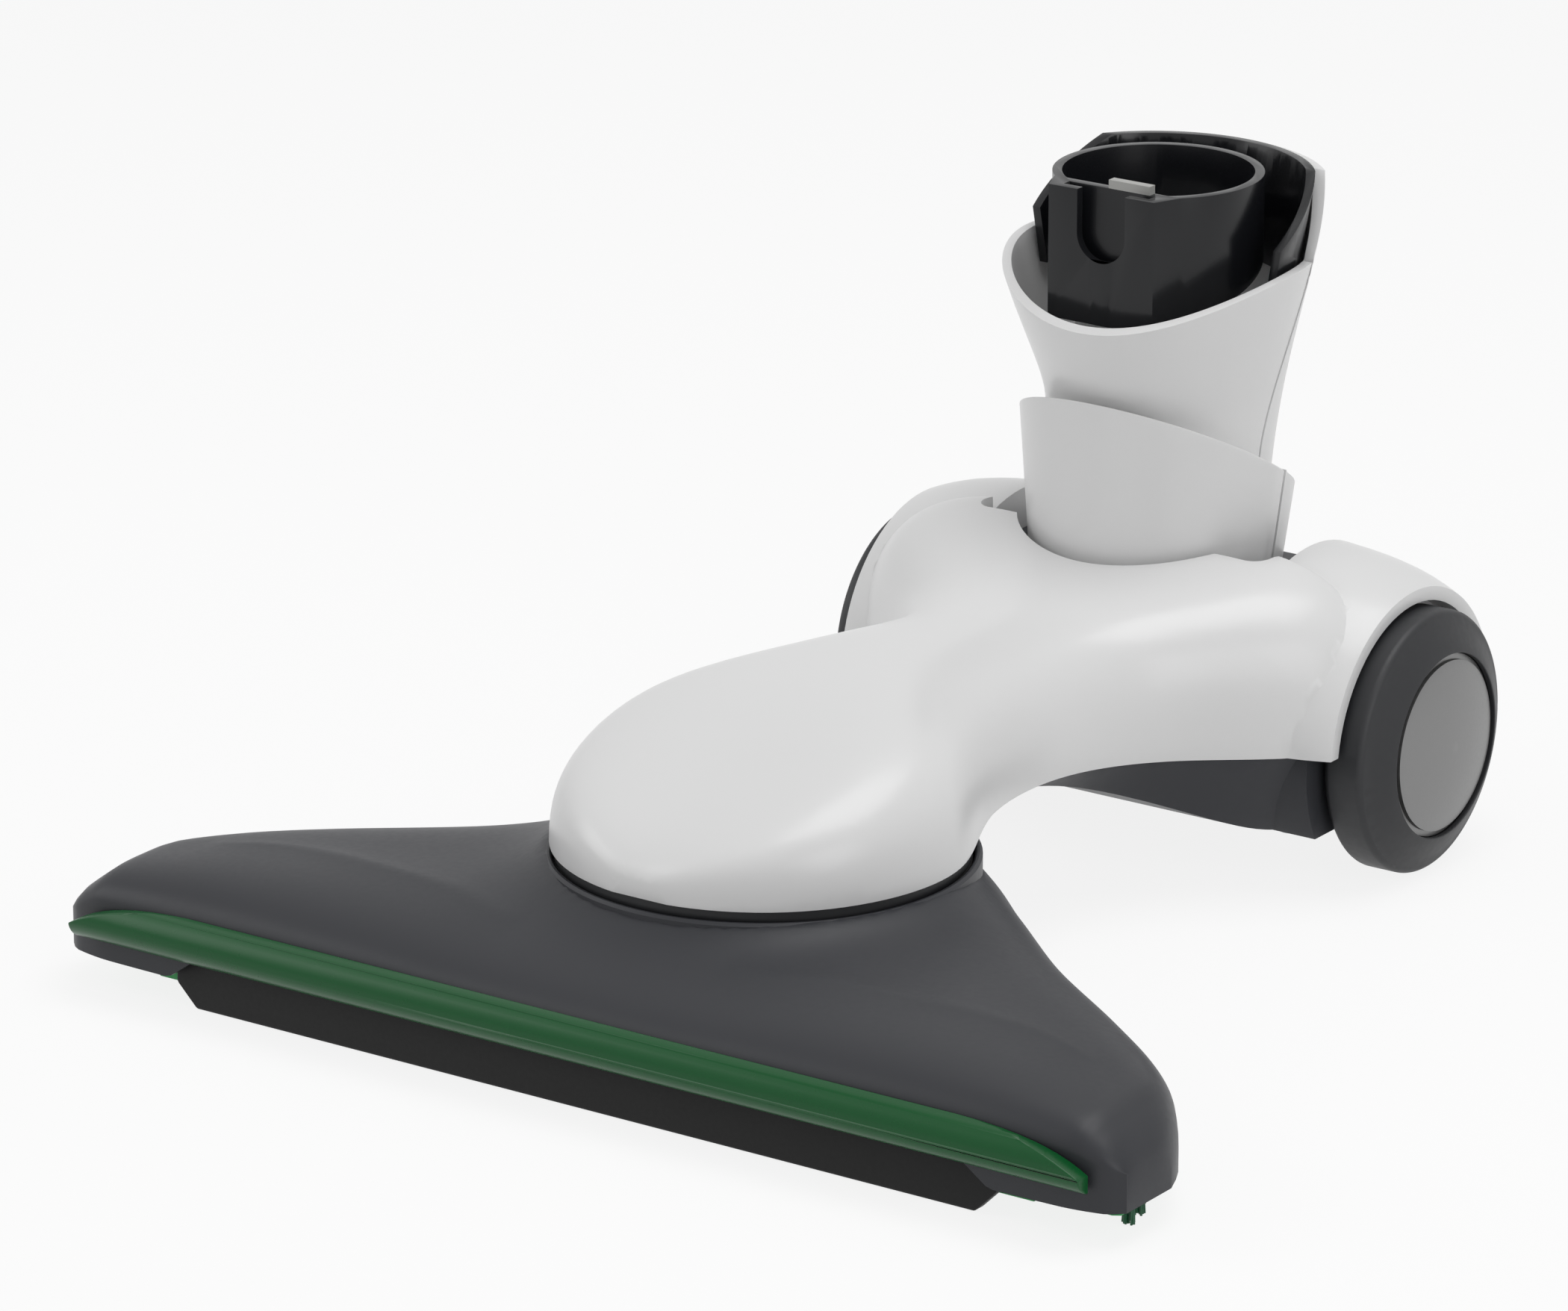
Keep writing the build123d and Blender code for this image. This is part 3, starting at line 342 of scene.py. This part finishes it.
class FLOORHEAD_OT_cover(bpy.types.Operator):
    """Bell-shaped cover that sweeps up from both wings to the neck's seat"""

    bl_idname = "floorhead.cover"
    bl_label = "Head cover"

    columns = 150
    rows = 84
    # Section of a wing: heights of its front and rear foot in mm, and the powers that shape its arch
    front_foot, rear_foot = 21.0, 15.0
    arch_power, shoulder_power = 3.4, 0.46
    crease_width = 6
    # The wings' tips: share of the half length at which they start to drop, and the share of height lost
    tip_start, tip_drop = 0.93, 0.18
    # Front skirt: how deep it reaches in plan, and the length over which it comes down, in mm
    skirt_depth, skirt_ramp = 8, 7
    # Seat for the neck: clearance, wall, edge rounds, deck, hold on the clip and foot of the wall, in mm
    seat_clearance, seat_wall = 0.6, 1.8
    inner_round, outer_round = 0.5, 0.7
    deck_thickness, clip_hold, wall_foot = 2.5, 5.6, 16
    # Cut for the seat in the skin: gap to the seal ring, foot and height in mm
    cut_gap, cut_foot, cut_height = 1.2, 10, 60
    edge_angle = 40

    def height(self, x, y, front, rear, crest):
        """Height of the cover's top, in mm about the swivel axis."""
        sizes = bpy.context.scene.floor_head_sizes
        rim = RIM_TOP / MM
        share = 2 * (y - front) / (rear - front) - 1
        reach = math.hypot(x, y) - (SEAT_HIGH.x / MM + self.seat_clearance + self.seat_wall)
        sweep = math.exp(-max(reach, 0) / (sizes.rim_sweep / MM))
        top = crest + (rim - crest) * sweep
        foot = self.front_foot if share < 0 else self.rear_foot
        across = min(max(abs(x), CREASE[0][0]), CREASE[-1][0])
        fade = math.sqrt(max(0, math.sin(math.pi * (across - CREASE[0][0]) / (CREASE[-1][0] - CREASE[0][0]))))
        off_crease = abs(y - through(CREASE, across)) / self.crease_width
        crease = fade * sizes.crease_rise / MM * math.exp(-off_crease)
        arch = (1 - min(abs(share), 1) ** self.arch_power) ** self.shoulder_power
        return foot + (top - foot) * arch + crease

    def execute(self, context):
        sizes = context.scene.floor_head_sizes
        half = WING[-1][0]
        bpy.ops.mesh.primitive_grid_add(
            x_subdivisions=self.columns, y_subdivisions=self.rows, size=2, location=(0, 0, 0),
        )
        cover = context.active_object
        cover.name = "head_cover_skin"
        front_of = [(x, f) for x, f, _, _ in WING]
        rear_of = [(x, r) for x, _, r, _ in WING]
        crest_of = [(x, c) for x, _, _, c in WING]
        for vertex in cover.data.vertices:
            across, along = vertex.co.x, vertex.co.y
            x = half * across
            front, rear, crest = (through(curve, abs(x)) for curve in (front_of, rear_of, crest_of))
            share = math.sin(along * math.pi / 2)
            y = (front + rear) / 2 + share * (rear - front) / 2
            past = max(abs(across) - self.tip_start, 0) / (1 - self.tip_start)
            z = self.height(x, y, front, rear, crest) * (1 - past * self.tip_drop)
            vertex.co = (x * MM, RING.y + y * MM, z * MM)
        only(cover)
        bpy.ops.object.mode_set(mode="EDIT")
        bpy.ops.mesh.select_all(action="SELECT")
        bpy.ops.mesh.region_to_loop()
        bpy.ops.mesh.extrude_edges_move()
        bpy.ops.object.mode_set(mode="OBJECT")
        # The front skirt stops above the lip and comes down again at the lip's ends
        rise, lip_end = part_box("front_strip")[0].z - COVER_FOOT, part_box("front_lip")[1].x
        for vertex in cover.data.vertices:
            if vertex.select:
                ahead = vertex.co.y < RING.y + (WING[0][1] + self.skirt_depth) * MM
                beyond = min(max((abs(vertex.co.x) - lip_end) / (self.skirt_ramp * MM) + 1, 0), 1)
                vertex.co.z = COVER_FOOT + (rise * (1 - beyond) if ahead else 0)
        bpy.ops.object.mode_set(mode="EDIT")
        bpy.ops.mesh.select_all(action="SELECT")
        bpy.ops.mesh.normals_make_consistent(inside=False)
        bpy.ops.object.mode_set(mode="OBJECT")
        if cover.data.polygons[self.columns * self.rows // 2].normal.z < 0:
            cover.data.flip_normals()
        apply(cover, "SOLIDIFY", thickness=sizes.cover_wall, offset=-1.0)
        radius, height = SEAT_HIGH.x + self.cut_gap * MM, self.cut_height * MM
        bore = lathe(
            "seat_cutter", [(0, 0), (0, radius), (height, radius), (height, 0)],
            Vector((0, RING.y, self.cut_foot * MM)), (0, 0, 1),
        )
        apply(cover, "BOOLEAN", operation="DIFFERENCE", object=bore, solver="EXACT")
        bpy.data.objects.remove(bore)
        smooth(cover, self.edge_angle)
        hand_over(cover, "head", "grey_plastic", "grey_plastic", "head_cover")

        # Seat in the cover: rim, wall and deck, turned as one
        inner, deck = SEAT_HIGH.x + self.seat_clearance * MM, SEAT_LOW.z
        under, foot = deck - self.deck_thickness * MM, self.wall_foot * MM
        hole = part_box("turret_clip")[1].x - self.clip_hold * MM
        rim = inner + self.seat_wall * MM
        inside, outside = self.inner_round * MM, self.outer_round * MM
        seat = lathe(
            "head_seat",
            [
                (under, hole), (deck, hole), (deck, inner), (RIM_TOP - inside, inner),
                (RIM_TOP, inner + inside), (RIM_TOP, rim - outside), (RIM_TOP - outside, rim),
                (foot, rim), (foot, inner), (under, inner),
            ],
            Vector((0, RING.y, 0)), (0, 0, 1),
        )
        smooth(seat)
        hand_over(seat, "head", "grey_plastic", "grey_plastic")
        return {"FINISHED"}


class FLOORHEAD_OT_shells(bpy.types.Operator):
    """Smooth, edge-rounded shells for the neck, elbow, funnel, socket, strip, lip and wheels"""

    bl_idname = "floorhead.shells"
    bl_label = "Shells"

    edge_segments = 3
    # Facets within this many degrees of each other are joined before the rounding
    flat_angle = 1
    # Node, body, material slot, edge rounding in mm and the angle in degrees from which an edge is rounded
    pieces = (
        ("front_strip", "head", "dark_green_plastic", 0.8, 40),
        ("front_lip", "head", "black_rubber", 0.6, 35),
        ("sole_plate", "head", "bright_green_plastic", 0.3, 35),
        ("neck_upper_shell", "neck", "white_plastic", 0.4, 40),
        ("neck_lower_shell", "neck", "grey_plastic", 0.5, 40),
        ("collar_front", "elbow", "white_plastic", 0.5, 40),
        ("collar_rear", "elbow", "white_plastic", 0.5, 40),
        ("elbow_drum", "elbow", "grey_plastic", 0.4, 40),
        ("funnel_front", "socket", "white_plastic", 0.6, 40),
        ("funnel_rear", "socket", "white_plastic", 0.5, 40),
        ("tube_socket", "socket", "gloss_black_plastic", 0.5, 35),
        ("tyre_left", "wheel_left", "tyre_rubber", 0.6, 30),
        ("tyre_right", "wheel_right", "tyre_rubber", 0.6, 30),
        ("cap_left", "wheel_left", "satin_cap", 0.5, 30),
        ("cap_right", "wheel_right", "satin_cap", 0.5, 30),
    )

    def shade_pocket(self, socket):
        """Painted shade inside the pocket behind the keyhole: a near-black finish on its faces."""
        socket.data.materials.append(FINISHES["recess_shadow"])
        front, half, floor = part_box("tube_socket")[0].y, POCKET_HALF * MM, POCKET_FLOOR * MM
        front += POCKET_FRONT * MM
        for face in socket.data.polygons:
            inside = front - POCKET_SLACK < face.center.y < front + POCKET_DEPTH * MM
            if inside and abs(face.center.x) < half and face.center.z > floor:
                face.material_index = 1

    def clear_keyhole(self, socket):
        """Cuts the keyhole right through the socket's front face."""
        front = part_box("tube_socket")[0].y
        middle = Vector((0, front, KEYHOLE_CENTRE * MM))
        radius, reach = KEYHOLE_RADIUS * MM, KEYHOLE_REACH * MM
        round_end = lathe(
            "keyhole_round", [(-reach, 0), (-reach, radius), (reach, radius), (reach, 0)], middle, (0, 1, 0),
        )
        bpy.ops.object.select_all(action="DESELECT")
        bpy.ops.mesh.primitive_cube_add(
            size=2, location=middle + Vector((0, 0, radius)), scale=(radius, reach, radius),
        )
        slot = bpy.context.active_object
        settle(slot)
        for cutter in (round_end, slot):
            apply(socket, "BOOLEAN", operation="DIFFERENCE", object=cutter, solver="EXACT")
            bpy.data.objects.remove(cutter)

    def execute(self, context):
        seams = {"funnel_rear": FUNNEL_SEAM, "collar_rear": COLLAR_SEAM}
        for node, body, slot, width, angle in self.pieces:
            piece = copy_of(node, f"{node}_skin")
            if node in seams:
                open_seam(piece, seams[node], context.scene.floor_head_sizes.seam_gap)
            if node == "tube_socket":
                self.clear_keyhole(piece)
            if node in ("front_strip", "tube_socket"):
                apply(piece, "DECIMATE", decimate_type="DISSOLVE", angle_limit=math.radians(self.flat_angle))
            apply(
                piece, "BEVEL", width=width * MM, segments=self.edge_segments, limit_method="ANGLE",
                angle_limit=math.radians(angle), use_clamp_overlap=True, harden_normals=False,
            )
            smooth(piece, angle)
            hand_over(piece, body, slot, slot, node)
            if node == "tube_socket":
                self.shade_pocket(piece)
        return {"FINISHED"}


class FLOORHEAD_OT_nodes(bpy.types.Operator):
    """Finishes for the solids that keep their CAD shape"""

    bl_idname = "floorhead.nodes"
    bl_label = "Small parts"

    def execute(self, context):
        slots = {part["node"]: part["material_slot"] for part in frame["record"]["subparts"]}
        for name, node in frame["nodes"].items():
            if not node.hide_render:
                paint(node, slots[name])
        return {"FINISHED"}


class FLOORHEAD_OT_bristles(bpy.types.Operator):
    """Bundles of fibres for every bristle tuft"""

    bl_idname = "floorhead.bristles"
    bl_label = "Bristles"

    seed = 7
    fibre_sides = 5
    tuft_radius = 1.5 * MM
    # Radius at a fibre's tip, most that a tuft widens there, and length of its shortest fibre, as shares
    tip_share = 0.6
    flare_share = 0.35
    shortest_share = 0.88

    def tuft_places(self, node):
        """Middle of each tuft in plan, from the node's separate solids."""
        rows = copy_of(node, "tuft_places")
        only(rows)
        bpy.ops.object.mode_set(mode="EDIT")
        bpy.ops.mesh.separate(type="LOOSE")
        bpy.ops.object.mode_set(mode="OBJECT")
        parts = list(bpy.context.selected_objects)
        places = []
        for part in parts:
            corners = [Vector(v.co) for v in part.data.vertices]
            middle = sum(corners, Vector()) / len(corners)
            places.append((round(middle.x, 5), round(middle.y, 5)))
            bpy.data.objects.remove(part)
        return sorted(places)

    def execute(self, context):
        sizes = context.scene.floor_head_sizes
        draw = random.Random(self.seed)
        for node, finish in (("outer_bristles", "green_fibre"), ("inner_bristles", "bristle_fibre")):
            low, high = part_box(node)
            places = self.tuft_places(node)
            # One fibre of unit length, hanging down
            bpy.ops.object.select_all(action="DESELECT")
            bpy.ops.mesh.primitive_cone_add(
                vertices=self.fibre_sides, radius1=sizes.fibre_radius,
                radius2=sizes.fibre_radius * self.tip_share, depth=1.0, location=(0, 0, -0.5),
            )
            fibre = context.active_object
            settle(fibre)
            shape = [tuple(v.co) for v in fibre.data.vertices]
            faces = [tuple(p.vertices) for p in fibre.data.polygons]
            bpy.data.objects.remove(fibre)
            vertices, polygons = [], []
            length = high.z - low.z
            for x, y in places:
                for _ in range(sizes.fibres_per_tuft):
                    angle = draw.uniform(0, 2 * math.pi)
                    reach = self.tuft_radius * math.sqrt(draw.random())
                    spread = self.flare_share * draw.random()
                    long = length * draw.uniform(self.shortest_share, 1.0)
                    start = len(vertices)
                    for vx, vy, vz in shape:
                        flare = 1 - spread * vz
                        vertices.append((
                            x + vx + math.cos(angle) * reach * flare,
                            y + vy + math.sin(angle) * reach * flare,
                            high.z + vz * long,
                        ))
                    polygons += [tuple(start + i for i in face) for face in faces]
            mesh = bpy.data.meshes.new(f"{node}_fibres")
            mesh.from_pydata(vertices, [], polygons)
            tufts = bpy.data.objects.new(f"{node}_fibres", mesh)
            context.scene.collection.objects.link(tufts)
            hand_over(tufts, "head", "bristle_fibre", finish, node)
        return {"FINISHED"}


class FLOORHEAD_OT_stage(bpy.types.Operator):
    """Pale floor, soft studio lights and the camera at the photograph's angle"""

    bl_idname = "floorhead.stage"
    bl_label = "Stage"

    # Camera fitted to the photograph: degrees, pixels per radian, and mm from the swivel axis
    azimuth = 34.95
    elevation = 18.61
    pixels_per_radian = 12000
    distance = 2146.7
    aim_right = 4.92
    aim_up = 85.25
    sensor_width = 36
    floor_size, floor_drop, floor_roughness = 8, 0.5 * MM, 0.9
    backdrop_share = 0.85
    # World strength as light and as seen directly
    world_light, world_seen = 0.36, 0.8
    aim = (0, 0, 0.06)
    # Name, place and size in metres, power in watts
    softboxes = (
        ("top_softbox", (0.25, 0.15, 1.3), 0.9, 7.6),
        ("left_softbox", (-1.1, -0.7, 0.7), 0.8, 3.9),
        ("right_softbox", (1.2, -0.5, 0.6), 0.7, 3.2),
    )

    def light(self, name, place, size, power):
        """Square softbox that points at the part."""
        lamp = bpy.data.lights.new(name, "AREA")
        lamp.size, lamp.energy = size, power
        softbox = bpy.data.objects.new(name, lamp)
        softbox.location = place
        softbox.rotation_euler = (Vector(place) - Vector(self.aim)).to_track_quat("Z", "Y").to_euler()
        bpy.context.scene.collection.objects.link(softbox)

    def execute(self, context):
        scene = context.scene
        bpy.ops.object.select_all(action="DESELECT")
        bpy.ops.mesh.primitive_plane_add(size=self.floor_size, location=(0, 0, -self.floor_drop))
        floor = context.active_object
        floor.name = "studio_floor"
        paper = finish_of("pale_studio_paper", scene.floor_head_colours.floor, self.floor_roughness)
        tree = paper.node_tree
        share = add_node(
            tree, "ShaderNodeMapRange", values=[("To Min", 0.0), ("To Max", self.backdrop_share)],
            links=[("Value", seen_directly(tree))],
        )
        glow = add_node(tree, "ShaderNodeEmission", values=[("Color", (1, 1, 1, 1))])
        mixed = add_node(
            tree, "ShaderNodeMixShader",
            links=[(0, share.outputs["Result"]), (1, tree.nodes["Principled BSDF"].outputs["BSDF"]),
                   (2, glow.outputs["Emission"])],
        )
        tree.links.new(mixed.outputs["Shader"], tree.nodes["Material Output"].inputs["Surface"])
        floor.data.materials.append(paper)

        world = bpy.data.worlds.new("studio")
        world.use_nodes = True
        tree = world.node_tree
        tree.nodes["Background"].inputs["Color"].default_value = (1, 1, 1, 1)
        strength = add_node(
            tree, "ShaderNodeMapRange", values=[("To Min", self.world_light), ("To Max", self.world_seen)],
            links=[("Value", seen_directly(tree))],
        )
        tree.links.new(strength.outputs["Result"], tree.nodes["Background"].inputs["Strength"])
        scene.world = world

        for softbox in self.softboxes:
            self.light(*softbox)

        a, e = math.radians(self.azimuth), math.radians(self.elevation)
        back = Vector((math.sin(a) * math.cos(e), -math.cos(a) * math.cos(e), math.sin(e)))
        right = Vector((math.cos(a), math.sin(a), 0))
        up = back.cross(right)
        eye = (right * self.aim_right + up * self.aim_up + back * self.distance) * MM
        camera_data = bpy.data.cameras.new("camera")
        camera_data.sensor_fit = "HORIZONTAL"
        camera_data.sensor_width = self.sensor_width
        camera_data.lens = self.sensor_width * self.pixels_per_radian / IMAGE_WIDTH
        camera = bpy.data.objects.new("camera", camera_data)
        turn = Matrix((right, up, back)).transposed()
        camera.matrix_world = Matrix.Translation(eye + Vector((0, RING.y, 0))) @ turn.to_4x4()
        scene.collection.objects.link(camera)
        scene.camera = camera
        scene.view_settings.view_transform = "Standard"
        return {"FINISHED"}


class FLOORHEAD_PT_panel(bpy.types.Panel):
    """Sizes, colours and steps of the floor head"""

    bl_idname = "FLOORHEAD_PT_panel"
    bl_label = "Floor Head"
    bl_space_type = "VIEW_3D"
    bl_region_type = "UI"
    bl_category = "Floor Head"

    def draw(self, context):
        for group in (context.scene.floor_head_sizes, context.scene.floor_head_colours):
            for name in group.__annotations__:
                self.layout.prop(group, name)
        for step in STEPS:
            self.layout.operator(step.bl_idname)


STEPS = (
    FLOORHEAD_OT_cover, FLOORHEAD_OT_shells, FLOORHEAD_OT_bristles, FLOORHEAD_OT_nodes, FLOORHEAD_OT_stage,
)
CLASSES = (FloorHeadSizes, FloorHeadColours, *STEPS, FLOORHEAD_PT_panel)
FINISHES = {}


def register():
    for cls in CLASSES:
        bpy.utils.register_class(cls)
    bpy.types.Scene.floor_head_sizes = PointerProperty(type=FloorHeadSizes)
    bpy.types.Scene.floor_head_colours = PointerProperty(type=FloorHeadColours)


def unregister():
    del bpy.types.Scene.floor_head_sizes
    del bpy.types.Scene.floor_head_colours
    for cls in reversed(CLASSES):
        bpy.utils.unregister_class(cls)


def main():
    register()
    FINISHES.update(make_finishes(bpy.context.scene.floor_head_colours))
    for step in STEPS:
        group, name = step.bl_idname.split(".")
        getattr(getattr(bpy.ops, group), name)()


if __name__ == "__main__":
    main()
